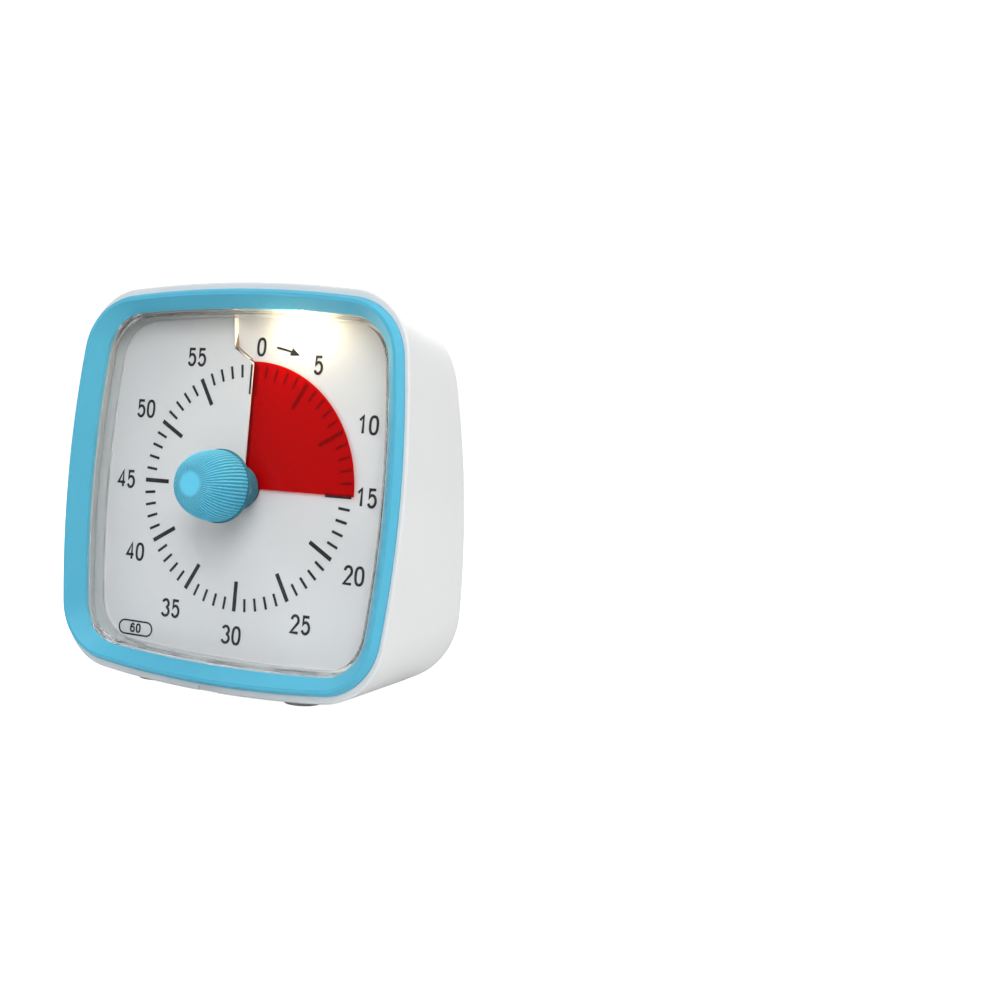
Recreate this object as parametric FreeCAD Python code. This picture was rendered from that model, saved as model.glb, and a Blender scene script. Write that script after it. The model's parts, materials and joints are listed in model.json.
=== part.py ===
import FreeCAD, Part
import math
import os

os.makedirs("parts", exist_ok=True)

Vector = FreeCAD.Vector
Rotation = FreeCAD.Rotation
Placement = FreeCAD.Placement

# Sizes in millimetres, angles in degrees
# The face frame has x to the right, y up the dial and z out of the dial, with the dial's middle at zero

# White housing
rim_half_width = 49.3
rim_half_height = 49.6
side_bow = 270.0
end_bow = 320.0
rim_corner = 16.5
rim_level = 8.3
rim_chamfer = 0.4
loft_depth = -46.0
loft_taper = 3.65
loft_corner = 25.0
wall = 2.2
ledge_front = -2.0
ledge_back = -4.0
ledge_side_inset = 5.6
ledge_end_inset = 5.9
ledge_opening_width = rim_half_width - ledge_side_inset
ledge_opening_height = rim_half_height - ledge_end_inset
post_low_side = 13.5
post_low_end = 11.0
post_high_side = 12.1
post_high_end = 9.4
post_radius = 4.6
post_length = 11.0
notch_width = 5.7
notch_depth = 0.9

# Stance on the table
face_lean = 3.0
foot_height = 0.3
base_trim = 0.1
base_cut = rim_half_height - base_trim
dial_height = base_cut + foot_height
dial_setback = -8.02
back_tilt = 13.86
back_level = -28.2

# Blue bezel
bezel_side_inset = 1.1
bezel_end_inset = 1.8
bezel_half_width = rim_half_width - bezel_side_inset
bezel_half_height = rim_half_height - bezel_end_inset
bezel_side_bow = 262.0
bezel_end_bow = 300.0
bezel_corner = 15.3
bezel_foot = 5.4
bezel_edge_level = 9.1
bezel_crest_level = 10.7
bezel_crest_inset = 0.9
bezel_crest_width = 0.8
bezel_side_band = 4.8
bezel_end_band = 4.4
bore_half_width = bezel_half_width - bezel_side_band
bore_half_height = bezel_half_height - bezel_end_band
bore_end_bow = 390.0
bezel_bore_corner = 11.7
bezel_bore_level = 7.0
bezel_fit = 0.05

# Clear lens tray
lens_gap = 0.15
lens_half_width = bore_half_width - lens_gap
lens_half_height = bore_half_height - lens_gap
lens_corner = 11.5
lens_wall = 1.2
lens_front_level = 7.0
lens_front_thickness = 1.2
lens_foot = 1.1
lens_flange_reach = 2.85
flange_half_width = lens_half_width + lens_flange_reach
flange_half_height = lens_half_height + lens_flange_reach
lens_flange_thickness = 1.1
lens_bore_radius = 6.1

# Dial sheet with a screw-shaped surface and a slit at zero
dial_half_width = flange_half_width
dial_half_height = flange_half_height
dial_corner = 14.0
dial_sheet_reach = 64.0
dial_thickness = 0.4
dial_bore_radius = 4.3
dial_frame_step = 0.65
dial_frame_width = lens_half_width - dial_frame_step
dial_frame_height = lens_half_height - dial_frame_step
slit_step = 1.6
slit_jog_start = 31.0
slit_jog_end = 34.4
slit_jog_run = 5.9
slit_top_run = 9.0
slit_jog_angle = 13.0
slit_wall = 0.5
slit_wall_start = 32.2

# Red film, one full turn, and its hub
film_radius = 31.5
film_thickness = 0.16
film_start_minutes = 15.0
hub_radius = 3.6
hub_bore_clearance = 0.06
hub_overlap = 0.3

# Blue knob
neck_radius = 5.5
neck_foot = 2.3
flange_radius = 8.95
flange_level = 9.9
flange_thickness = 0.8
dome_start_radius = 8.65
dome_front_level = 21.2
dome_flat_radius = 3.1
dome_exponent = 2.1
flute_count = 60
flute_depth = 0.17
dome_steps = 9
knob_bore_depth = 12.0

# Arbor and movement
arbor_radius = 2.0
arbor_flat = 1.6
pivot_radius = 1.0
pivot_length = 0.9
running_clearance = 0.05
chassis_thickness = 1.2
chassis_gap = 0.3
movement_half = 18.6
movement_corner = 3.0
movement_plate = 1.0
movement_back = -14.0
movement_wall = 1.0
gear_module = 0.4
output_teeth = 48
pinion_teeth = 10
middle_teeth = 40
gear_thickness = 1.0
output_gear_level = -8.6
middle_gear_level = -10.4
pressure_angle = 25.0
tooth_backlash = 0.06
middle_angle = 225.0
rotor_angle = -20.0
staff_radius = 0.5
rotor_radius = 2.6

# Screws
small_screw_radius = 0.75
small_screw_head = 1.2
small_screw_head_height = 0.7
case_screw_radius = 1.1
case_screw_head = 2.0
case_screw_length = 9.0
hole_clearance = 0.1
screw_seat = 1.1

# Back cover and battery compartment
cover_gap = 0.15
cell_radius = 5.1
cell_length = 43.6
cell_nub_radius = 1.9
cell_nub_length = 0.9
cell_pitch = 11.4
cell_row_middle = -28.0
cell_level = -8.2
tray_half_length = 24.6
tray_half_height = 11.5
tray_depth = 14.8
tray_wall = 1.2
door_gap = 0.3
door_thickness = 1.8
spring_strip = 0.25
spring_reach = 4.0
spring_width = 5.0
contact_thickness = 0.4

# Circuit board and what it carries
board_side_gap = 2.6
board_half_length = rim_half_width - post_high_side - post_radius - board_side_gap
board_half_height = 10.0
board_middle = 29.0
board_level = -7.2
board_thickness = 1.2
buzzer_radius = 7.0
buzzer_height = 3.6
button_x = 20.0
button_radius = 3.6
button_gap = 0.25
button_proud = 1.1
button_flange = 0.9
button_travel = 0.8
slider_x = -20.0
slider_travel = 4.0
slider_half_width = 1.6
slider_proud = 1.2

# Lamp
lamp_x = 15.0
lamp_level = 2.6
lamp_radius = 1.3
lamp_gap = 0.2
lamp_tip = lens_half_height + lamp_gap
lamp_board_thickness = 0.4

# Feet
foot_radius = 4.5
foot_x = 22.0
foot_front = -2.5
foot_back = 27.0
foot_pocket = 0.9

tilt = Placement(Vector(0, 0, 0), Rotation(Vector(1, 0, 0), 90.0 - face_lean))
stand = Placement(Vector(0, dial_setback, dial_height), Rotation())
back_turn = Rotation(Vector(1, 0, 0), back_tilt).multiply(Rotation(Vector(0, 1, 0), 180.0))
back_frame = Placement(Vector(0, 0, back_level), back_turn)


def save(name, shape):
    placed = shape.copy()
    placed.Placement = stand.multiply(tilt).multiply(placed.Placement)
    placed.exportStep("parts/" + name + ".step")


def moved(shape, frame):
    placed = shape.copy()
    placed.Placement = frame.multiply(placed.Placement)
    return placed


def in_back(shape):
    return moved(shape, back_frame)


def in_world(shape):
    return moved(shape, tilt.inverse())


def cylinder(radius, low, high, x=0.0, y=0.0):
    return Part.makeCylinder(radius, high - low, Vector(x, y, low))


def block(x_low, x_high, y_low, y_high, z_low, z_high):
    return Part.makeBox(x_high - x_low, y_high - y_low, z_high - z_low, Vector(x_low, y_low, z_low))


def merged(shapes):
    body = shapes[0]
    for shape in shapes[1:]:
        body = body.fuse(shape)
    return body.removeSplitter()


def bowed_square(half_width, half_height, level, corner, side=side_bow, end=end_bow):
    # A square with gently bowed sides: four wide arcs joined by four corner arcs
    side_middle = half_width - side
    end_middle = half_height - end
    side_reach = side - corner
    end_reach = end - corner
    gap = math.hypot(side_middle, end_middle)
    along = (gap * gap + side_reach ** 2 - end_reach ** 2) / (2.0 * gap)
    across = math.sqrt(side_reach ** 2 - along ** 2)
    unit_x = -side_middle / gap
    unit_y = end_middle / gap
    first = (side_middle + along * unit_x - across * unit_y, along * unit_y + across * unit_x)
    second = (side_middle + along * unit_x + across * unit_y, along * unit_y - across * unit_x)
    middle = max(first, second, key=sum)
    low_angle = math.atan2(middle[1], middle[0] - side_middle)
    high_angle = math.atan2(middle[1] - end_middle, middle[0])
    half_angle = (low_angle + high_angle) / 2.0

    def corner_point(angle):
        return (middle[0] + corner * math.cos(angle), middle[1] + corner * math.sin(angle))

    quarter = [corner_point(low_angle), corner_point(half_angle), corner_point(high_angle)]
    edges = []
    for flip_x, flip_y in ((1, 1), (-1, 1), (-1, -1), (1, -1)):
        trio = [Vector(x * flip_x, y * flip_y, level) for x, y in quarter]
        if flip_x * flip_y < 0:
            trio.reverse()
        edges.append(trio)
    sides = []
    tops = [Vector(0, half_height, level), Vector(-half_width, 0, level)]
    tops += [Vector(0, -half_height, level), Vector(half_width, 0, level)]
    for index, trio in enumerate(edges):
        following = edges[(index + 1) % 4]
        sides.append(Part.Arc(trio[0], trio[1], trio[2]).toShape())
        sides.append(Part.Arc(trio[2], tops[index], following[0]).toShape())
    return Part.Wire(sides)


def prism(wire, height):
    return Part.Face(wire).extrude(Vector(0, 0, height))


def square_prism(half_width, half_height, low, high, corner, side=side_bow, end=end_bow):
    return prism(bowed_square(half_width, half_height, low, corner, side, end), high - low)


def loft(wires, ruled=True):
    return Part.makeLoft(wires, True, ruled)


def shell_loft(inset, top):
    front = bowed_square(rim_half_width - inset, rim_half_height - inset, rim_level - rim_chamfer,
                         rim_corner - inset, side_bow - inset, end_bow - inset)
    back = bowed_square(rim_half_width - loft_taper - inset, rim_half_height - inset, loft_depth,
                        loft_corner - inset, side_bow - inset, end_bow - inset)
    body = loft([front, back])
    return body if top >= rim_level else body.cut(block(-80, 80, -80, 80, top, rim_level + 20))


def behind_back(offset):
    # Everything behind the sloping back plane, moved inwards by the offset
    return in_back(block(-90, 90, -90, 90, -offset, 60))


def under_base(offset):
    return in_world(block(-90, 90, -90, 90, -90, offset - base_cut))


def feet_places():
    return [(x, y) for x in (-foot_x, foot_x) for y in (foot_front, foot_back)]


def foot_shape(x, y, radius, low):
    return in_world(cylinder(radius, low - base_cut, foot_pocket + 0.6 - base_cut, x, y))


def post_places():
    low_x = rim_half_width - post_low_side
    low_y = -rim_half_height + post_low_end
    high_x = rim_half_width - post_high_side
    high_y = rim_half_height - post_high_end
    return [(-low_x, low_y), (low_x, low_y), (-high_x, high_y), (high_x, high_y)]


def make_housing():
    outer = shell_loft(0.0, rim_level).cut(behind_back(0.0)).cut(under_base(0.0))
    edge_level = rim_level - rim_chamfer
    rim_cap = loft([bowed_square(rim_half_width, rim_half_height, edge_level, rim_corner),
                    bowed_square(rim_half_width - rim_chamfer, rim_half_height - rim_chamfer, rim_level,
                                 rim_corner - rim_chamfer)])
    outer = outer.fuse(rim_cap)
    cavity = shell_loft(wall, rim_level + 5.0).cut(under_base(wall))
    body = outer.cut(cavity)
    recess = square_prism(bezel_half_width + bezel_fit, bezel_half_height + bezel_fit, bezel_foot,
                          rim_level + 5.0, bezel_corner + bezel_fit, bezel_side_bow, bezel_end_bow)
    ledge = shell_loft(wall / 2.0, ledge_front).cut(block(-80, 80, -80, 80, -80, ledge_back))
    opening = square_prism(ledge_opening_width, ledge_opening_height, ledge_back - 1, ledge_front + 1,
                           rim_corner - ledge_side_inset)
    body = merged([body, ledge.cut(opening)]).cut(recess)
    inside = shell_loft(wall / 2.0, ledge_back - chassis_thickness)
    for x, y in post_places():
        post = in_back(cylinder(post_radius, -wall - post_length, -wall, x, y))
        pilot = in_back(cylinder(case_screw_radius, -wall - case_screw_length, 1.0, x, y))
        body = body.fuse(post.common(inside)).cut(pilot)
    for x, y in screw_places():
        body = body.cut(cylinder(small_screw_radius, ledge_back - 0.5, ledge_front - 0.4, x, y))
    for x, y in feet_places():
        body = body.cut(in_world(cylinder(foot_radius + 0.05, -base_cut - 2, foot_pocket + 0.6 - base_cut, x, y)))
    notch_top = rim_half_height + 1.0
    body = body.cut(block(-notch_width / 2, notch_width / 2, -notch_top, -bezel_half_height - 0.4,
                          rim_level - notch_depth, rim_level + 1))
    return body.removeSplitter()


def make_feet():
    return Part.makeCompound([foot_shape(x, y, foot_radius, -foot_height) for x, y in feet_places()])


def bezel_wire(inset, level):
    return bowed_square(bezel_half_width - inset, bezel_half_height - inset, level, bezel_corner - inset,
                        bezel_side_bow - inset, bezel_end_bow - inset)


def bore_wire(level, grow=0.0):
    return bowed_square(bore_half_width + grow, bore_half_height + grow, level, bezel_bore_corner + grow,
                        side_bow, bore_end_bow)


def make_bezel():
    # A raised crest near the outer edge with a slope down to the lens
    skirt = prism(bezel_wire(0.0, bezel_foot), bezel_edge_level - bezel_foot)
    crest_outer = bezel_wire(bezel_crest_inset, bezel_crest_level)
    rise = loft([bezel_wire(0.0, bezel_edge_level), crest_outer])
    body = skirt.fuse(rise)
    slope_top = bezel_wire(bezel_crest_inset + bezel_crest_width, bezel_crest_level)
    slope = loft([bore_wire(bezel_bore_level), slope_top])
    body = body.cut(slope).cut(prism(bore_wire(bezel_foot - 1), bezel_bore_level - bezel_foot + 1))
    return body.removeSplitter()


def make_lens():
    outer = square_prism(lens_half_width, lens_half_height, lens_foot, lens_front_level, lens_corner,
                         side_bow, bore_end_bow)
    flange_low = bezel_foot - lens_flange_thickness
    flange = square_prism(flange_half_width, flange_half_height, flange_low, bezel_foot, dial_corner)
    inside = square_prism(lens_half_width - lens_wall, lens_half_height - lens_wall, lens_foot - 1,
                          lens_front_level - lens_front_thickness, lens_corner - lens_wall,
                          side_bow, bore_end_bow)
    body = outer.fuse(flange).cut(inside)
    return body.cut(cylinder(lens_bore_radius, 0, lens_front_level + 1)).removeSplitter()


def screw_sheet(inner, outer, thickness, start, turns, low_level):
    # A flat radial strip carried up a helix: the surface that maps to itself in a screw motion
    helix = Part.makeHelix(slit_step, slit_step * turns, outer, 0.0, True)
    half = thickness / 2.0
    corners = [Vector(inner, 0, -half), Vector(outer, 0, -half), Vector(outer, 0, half), Vector(inner, 0, half)]
    profile = Part.makePolygon(corners + [corners[0]])
    sheet = Part.Wire(helix).makePipeShell([profile], True, True)
    sheet.rotate(Vector(0, 0, 0), Vector(0, 0, 1), start)
    sheet.translate(Vector(0, 0, low_level))
    return sheet


def make_dial():
    # Minutes run clockwise, so the sheet climbs clockwise from the slit at twelve o'clock
    half_step = slit_step / 2.0
    turns = 1.0 + slit_jog_angle / 360.0
    extra = slit_step * slit_jog_angle / 360.0
    sheet = screw_sheet(dial_bore_radius, dial_sheet_reach, dial_thickness, 90.0 + slit_jog_angle, turns,
                        -half_step - extra)
    outline = square_prism(dial_half_width, dial_half_height, ledge_front, ledge_front + 6, dial_corner)
    sheet = sheet.common(outline)
    jog = [Vector(0, 0, 0), Vector(0, slit_jog_start, 0)]
    jog += [Vector(-slit_jog_run, slit_jog_end, 0), Vector(-slit_top_run, 60, 0)]
    low_cut = jog + [Vector(-30, 60, 0), Vector(-30, 0, 0), jog[0]]
    high_cut = jog + [Vector(20, 60, 0), Vector(20, 0, 0), jog[0]]
    low_block = prism(Part.makePolygon(low_cut), half_step)
    low_block.translate(Vector(0, 0, -half_step - extra - dial_thickness))
    high_block = prism(Part.makePolygon(high_cut), half_step + 1.0)
    high_block.translate(Vector(0, 0, 0.35))
    sheet = sheet.cut(low_block).cut(high_block)
    # A small riser joins the two levels outside the film
    aside = [Vector(point.x - slit_wall, point.y, 0) for point in reversed(jog)]
    riser = prism(Part.makePolygon(jog + aside + [jog[0]]), slit_step)
    riser.translate(Vector(0, 0, -half_step))
    riser = riser.cut(cylinder(slit_wall_start, -5, 5)).common(outline)
    sheet = sheet.fuse(riser)
    ring = outline.common(block(-80, 80, -80, 80, ledge_front, lens_foot))
    opening = square_prism(dial_frame_width, dial_frame_height, ledge_front - 1, ledge_front + 6,
                           lens_corner, side_bow, bore_end_bow)
    return merged([ring.cut(opening), sheet])


def arbor_profile(clearance):
    # A round bar with one flat that keys the knob and the film hub
    bar = cylinder(arbor_radius + clearance, -60, 60)
    return bar.cut(block(arbor_flat + clearance, 10, -10, 10, -61, 61))


def keyed_bore(low, high, clearance):
    return arbor_profile(clearance).common(block(-9, 9, -9, 9, low, high))


def film_reach():
    # The hub spans the film's own climb from its trailing edge to its leading edge
    top = slit_step * film_start_minutes / 60.0
    return (top - slit_step, top)


def make_film_hub():
    low, high = film_reach()
    body = cylinder(hub_radius, low - hub_overlap, high + hub_overlap)
    return body.cut(keyed_bore(low - 2, high + 2, hub_bore_clearance))


def make_film():
    low, high = film_reach()
    start = 90.0 - 360.0 * film_start_minutes / 60.0
    sheet = screw_sheet(hub_radius, film_radius, film_thickness, start, 1.0, low)
    return sheet


def fluted_section(radius, depth, level):
    points = []
    samples = flute_count * 6
    for index in range(samples):
        angle = 2.0 * math.pi * index / samples
        ripple = radius - depth * (0.5 + 0.5 * math.cos(flute_count * angle))
        points.append(Vector(ripple * math.cos(angle), ripple * math.sin(angle), level))
    curve = Part.BSplineCurve()
    curve.interpolate(points, PeriodicFlag=True)
    return Part.Wire(curve.toShape())


def dome_radius(share):
    # Radius of the dome at a share of its length, nearly straight first and then rounding in
    return dome_flat_radius + (dome_start_radius - dome_flat_radius) * math.sqrt(1.0 - share ** dome_exponent)


def make_knob():
    dome_low = flange_level + flange_thickness
    dome_length = dome_front_level - dome_low
    neck = cylinder(neck_radius, neck_foot, flange_level)
    flange = cylinder(flange_radius, flange_level, dome_low)
    flange_edges = [e for e in flange.Edges if e.Curve.TypeId == "Part::GeomCircle"]
    flange = flange.makeFillet(0.25, flange_edges)
    sections = []
    for step in range(dome_steps + 1):
        share = math.sin(math.pi / 2.0 * step / dome_steps)
        depth = flute_depth * min(1.0, 0.15 + 6.0 * (1.0 - share))
        level = dome_low + dome_length * share
        sections.append(fluted_section(dome_radius(share), depth, level))
    dome = loft(sections, False)
    body = neck.fuse(flange).fuse(dome)
    return body.cut(keyed_bore(-5, neck_foot + knob_bore_depth, 0.0))


def make_arbor():
    top = neck_foot + knob_bore_depth - 0.3
    bottom = movement_back + movement_wall
    body = arbor_profile(0.0).common(block(-9, 9, -9, 9, -4.5, top))
    body = body.fuse(cylinder(arbor_radius, bottom + 0.3, -4.5))
    shoulder = cylinder(3.0, output_gear_level + gear_thickness + 0.1, output_gear_level + gear_thickness + 0.7)
    pivot = cylinder(pivot_radius, bottom - pivot_length + 0.1, bottom + 0.3)
    return merged([body, shoulder, pivot])


def screw_places():
    side = ledge_opening_width + screw_seat
    end = ledge_opening_height + screw_seat
    return [(side, 0), (-side, 0), (0, end), (0, -end)]


def make_chassis():
    low = ledge_back - chassis_thickness
    body = shell_loft(wall + chassis_gap, ledge_back).cut(block(-80, 80, -80, 80, -80, low))
    body = body.cut(under_base(wall + chassis_gap))
    for x, y in post_places():
        body = body.cut(cylinder(post_radius + 2.6, low - 1, ledge_back + 1, x, y))
    body = body.cut(cylinder(arbor_radius + 0.5, low - 1, ledge_back + 1))
    for x, y in screw_places():
        body = body.cut(cylinder(small_screw_radius + hole_clearance, low - 1, ledge_back + 1, x, y))
    for x, y in movement_screw_places():
        body = body.cut(cylinder(small_screw_radius, low - 1, ledge_back + 1, x, y))
    return body


def screw(radius, length, head_radius, head_height):
    # Shank up the z axis from zero, head below zero with a cross slot
    body = cylinder(radius, 0, length).fuse(cylinder(head_radius, -head_height, 0))
    slot = head_radius * 0.65
    narrow = head_radius * 0.14
    depth = head_height * 0.55
    for half_x, half_y in ((slot, narrow), (narrow, slot)):
        body = body.cut(block(-half_x, half_x, -half_y, half_y, -head_height - 1, -head_height + depth))
    return body.removeSplitter()


def placed_screws(places, level, shape):
    copies = []
    for x, y in places:
        item = shape.copy()
        item.translate(Vector(x, y, level))
        copies.append(item)
    return Part.makeCompound(copies)


def make_chassis_screws():
    length = chassis_thickness + 1.2
    shape = screw(small_screw_radius, length, small_screw_head, small_screw_head_height)
    return placed_screws(screw_places(), ledge_back - chassis_thickness, shape)


def movement_screw_places():
    reach = movement_half - 2.0
    return [(x, y) for x in (-reach, reach) for y in (-reach, reach)]


def make_movement_screws():
    length = ledge_back - chassis_thickness - movement_back + 1.0
    shape = screw(small_screw_radius, length, small_screw_head, small_screw_head_height)
    return placed_screws(movement_screw_places(), movement_back, shape)


def rounded_block(half, low, high, corner):
    body = block(-half, half, -half, half, low, high)
    uprights = [e for e in body.Edges if e.BoundBox.ZLength > 0.5 * (high - low)]
    return body.makeFillet(corner, uprights)


def staff_places():
    reach = gear_module * (output_teeth + pinion_teeth) / 2.0
    angle = math.radians(middle_angle)
    middle = (reach * math.cos(angle), reach * math.sin(angle))
    step = gear_module * (middle_teeth + pinion_teeth) / 2.0
    turn = math.radians(rotor_angle)
    rotor = (middle[0] + step * math.cos(turn), middle[1] + step * math.sin(turn))
    return middle, rotor


def make_movement_front():
    high = ledge_back - chassis_thickness
    low = high - movement_plate
    body = rounded_block(movement_half, low, high, movement_corner)
    body = body.cut(cylinder(arbor_radius + running_clearance, low - 1, high + 1))
    for x, y in movement_screw_places():
        body = body.cut(cylinder(small_screw_radius + hole_clearance, low - 1, high + 1, x, y))
    for x, y in staff_places():
        body = body.cut(cylinder(staff_radius + running_clearance, low - 1, low + 0.6, x, y))
    return body


def make_movement_case():
    high = ledge_back - chassis_thickness - movement_plate
    body = rounded_block(movement_half, movement_back, high, movement_corner)
    inside = rounded_block(movement_half - movement_wall, movement_back + movement_wall, high + 1,
                           movement_corner - movement_wall)
    body = body.cut(inside)
    for x, y in movement_screw_places():
        body = body.fuse(cylinder(1.9, movement_back, high, x, y))
    for x, y in movement_screw_places():
        body = body.cut(cylinder(small_screw_radius + hole_clearance, movement_back - 1, high + 1, x, y))
    for x, y in staff_places():
        body = body.cut(cylinder(staff_radius + running_clearance, movement_back + 0.3, high, x, y))
    body = body.cut(cylinder(pivot_radius + running_clearance, movement_back - 1, high))
    return body.removeSplitter()


def involute(angle):
    return math.tan(angle) - angle


def gear(teeth, low, high, bore, turn):
    # Involute flanks; the turn sets where the first tooth points
    pitch = gear_module * teeth / 2.0
    base = pitch * math.cos(math.radians(pressure_angle))
    outer = pitch + 0.8 * gear_module
    root = pitch - 1.1 * gear_module
    half_tooth = math.pi / (2.0 * teeth) - tooth_backlash / pitch
    start = half_tooth + involute(math.radians(pressure_angle))
    flank = []
    for radius in (max(base, root), (max(base, root) + pitch) / 2.0, pitch, (pitch + outer) / 2.0, outer):
        roll = math.acos(min(1.0, base / radius))
        flank.append((radius, start - involute(roll)))
    flank = [(root, flank[0][1])] + flank if root < base else flank
    corners = []
    for index in range(teeth):
        middle = math.radians(turn) + 2.0 * math.pi * index / teeth
        for radius, half in flank:
            corners.append(Vector(radius * math.cos(middle - half), radius * math.sin(middle - half), low))
        for radius, half in reversed(flank):
            corners.append(Vector(radius * math.cos(middle + half), radius * math.sin(middle + half), low))
    body = prism(Part.makePolygon(corners + [corners[0]]), high - low)
    if bore > 0:
        body = body.cut(cylinder(bore, low - 1, high + 1))
    return body


def make_output_wheel():
    low = output_gear_level
    return gear(output_teeth, low, low + gear_thickness, arbor_radius + running_clearance, middle_angle)


def make_clutch_spring():
    high = output_gear_level - 0.1
    washer = cylinder(3.4, high - 0.3, high).cut(cylinder(arbor_radius, high - 1, high + 1))
    return washer


def make_retaining_clip():
    high = output_gear_level - 0.4
    clip = cylinder(3.0, high - 0.5, high).cut(cylinder(arbor_radius, high - 1, high + 1))
    return clip.cut(block(0, 5, -1.0, 1.0, high - 1, high + 1))


def make_middle_wheel():
    place = staff_places()[0]
    pinion_half_pitch = 180.0 / pinion_teeth
    pinion = gear(pinion_teeth, output_gear_level - 0.3, output_gear_level + gear_thickness + 0.3, 0.0,
                  middle_angle + 180.0 + pinion_half_pitch)
    wheel = gear(middle_teeth, middle_gear_level, middle_gear_level + gear_thickness, 0.0, rotor_angle)
    link = cylinder(1.3, middle_gear_level, output_gear_level)
    front = ledge_back - chassis_thickness - movement_plate
    staff = cylinder(staff_radius, movement_back + 0.4, front + 0.5)
    body = merged([pinion, link, wheel, staff])
    body.translate(Vector(place[0], place[1], 0))
    return body


def make_rotor():
    place = staff_places()[1]
    pinion_half_pitch = 180.0 / pinion_teeth
    pinion = gear(pinion_teeth, middle_gear_level - 0.2, middle_gear_level + gear_thickness + 0.2, 0.0,
                  rotor_angle + 180.0 + pinion_half_pitch)
    magnet = cylinder(rotor_radius, movement_back + movement_wall + 0.3, middle_gear_level - 0.2)
    front = ledge_back - chassis_thickness - movement_plate
    staff = cylinder(staff_radius, movement_back + 0.4, front + 0.5)
    body = merged([pinion, magnet, staff])
    body.translate(Vector(place[0], place[1], 0))
    return body


def make_stator():
    # A flat yoke round the rotor with two arms that pass into the coil
    x, y = staff_places()[1]
    low = movement_back + movement_wall
    high = low + 0.9
    yoke = block(x - 5.0, x + 13.4, y - 4.2, y + 4.2, low, high)
    yoke = yoke.cut(block(x + 6.0, x + 12.2, y - 2.2, y + 2.2, low - 1, high + 1))
    return yoke.cut(cylinder(rotor_radius + 0.4, low - 1, high + 1, x, y))


def make_coil():
    x, y = staff_places()[1]
    low = movement_back + movement_wall + 0.9
    body = block(x + 6.4, x + 12.0, y - 3.9, y + 3.9, low, low + 2.0)
    return body.makeFillet(0.6, [e for e in body.Edges if e.BoundBox.YLength > 5])


def cover_outline(inset, low, high):
    # The cavity's outline at the back plane, seen square to it
    column = shell_loft(wall + inset, rim_level).cut(under_base(wall + inset))
    slab = in_back(block(-90, 90, -90, 90, low, high))
    return column.common(slab)


def tray_bounds(grow):
    return (-tray_half_length - grow, tray_half_length + grow,
            cell_row_middle - tray_half_height - grow, cell_row_middle + tray_half_height + grow)


def grille_places():
    places = [(0.0, board_middle)]
    for ring, count in ((2.6, 6), (5.2, 12)):
        for index in range(count):
            angle = 2.0 * math.pi * index / count
            places.append((ring * math.cos(angle), board_middle + ring * math.sin(angle)))
    return places


def board_post_places():
    reach_x = board_half_length - 3.0
    reach_y = board_half_height - 2.5
    return [(x, board_middle + y) for x in (-reach_x, reach_x) for y in (-reach_y, reach_y)]


def make_back_cover():
    plate = cover_outline(cover_gap, -wall, 0.0)
    x_low, x_high, y_low, y_high = tray_bounds(0.0)
    tray = block(x_low - tray_wall, x_high + tray_wall, y_low - tray_wall, y_high + tray_wall, -tray_depth, -wall)
    tray = tray.cut(block(x_low, x_high, y_low, y_high, -tray_depth + tray_wall, 1))
    opening = block(x_low, x_high, y_low, y_high, -wall - 1, 1)
    lip = 1.4
    seat = block(x_low + lip, x_high - lip, y_low + lip, y_high - lip, -wall - 1, 1)
    shelf = opening.cut(seat).common(block(-90, 90, -90, y_high, -wall, -door_thickness - 0.1))
    body = plate.cut(in_back(opening)).fuse(in_back(tray)).fuse(in_back(shelf))
    for x, y in post_places():
        body = body.cut(in_back(cylinder(case_screw_radius + hole_clearance, -wall - 1, 1, x, y)))
        body = body.cut(in_back(cylinder(case_screw_head + hole_clearance, -1.2, 1, x, y)))
    for x, y in grille_places():
        body = body.cut(in_back(cylinder(0.65, -wall - 1, 1, x, y)))
    for x, y in board_post_places():
        body = body.fuse(in_back(cylinder(2.0, board_level, -wall, x, y)))
        body = body.cut(in_back(cylinder(small_screw_radius, board_level - 1, -wall - 1.0, x, y)))
    body = body.cut(in_back(cylinder(button_radius + button_gap, -wall - 1, 1, button_x, board_middle)))
    reach = slider_travel / 2.0 + slider_half_width + 0.3
    slot = block(slider_x - reach, slider_x + reach, board_middle - 1.3, board_middle + 1.3, -wall - 1, 1)
    body = body.cut(in_back(slot))
    grip = Part.makeSphere(6.0, Vector(0, y_high + 1.0, 4.4))
    return body.cut(in_back(grip)).removeSplitter()


def make_battery_door():
    x_low, x_high, y_low, y_high = tray_bounds(-door_gap)
    plate = block(x_low, x_high, y_low, y_high, -door_thickness, 0)
    hinge_edges = [e for e in plate.Edges if e.BoundBox.YMax < y_low + 0.01 and e.BoundBox.XLength > 10]
    plate = plate.makeFillet(0.85, hinge_edges)
    for index in range(3):
        middle = y_high - 5.0 - 1.8 * index
        plate = plate.cut(block(-5, 5, middle - 0.4, middle + 0.4, -0.4, 1))
    return in_back(plate.removeSplitter())


def make_case_screws():
    shape = screw(case_screw_radius - 0.02, wall - 1.2 + 7.5, case_screw_head, 1.0)
    copies = []
    for x, y in post_places():
        item = moved(shape, Placement(Vector(x, y, -1.2), Rotation(Vector(1, 0, 0), 180.0)))
        copies.append(in_back(item))
    return Part.makeCompound(copies)


def cell_rows():
    return [cell_row_middle - cell_pitch / 2.0, cell_row_middle + cell_pitch / 2.0]


def lying_cylinder(radius, x_low, x_high, y, z):
    return Part.makeCylinder(radius, x_high - x_low, Vector(x_low, y, z), Vector(1, 0, 0))


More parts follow.
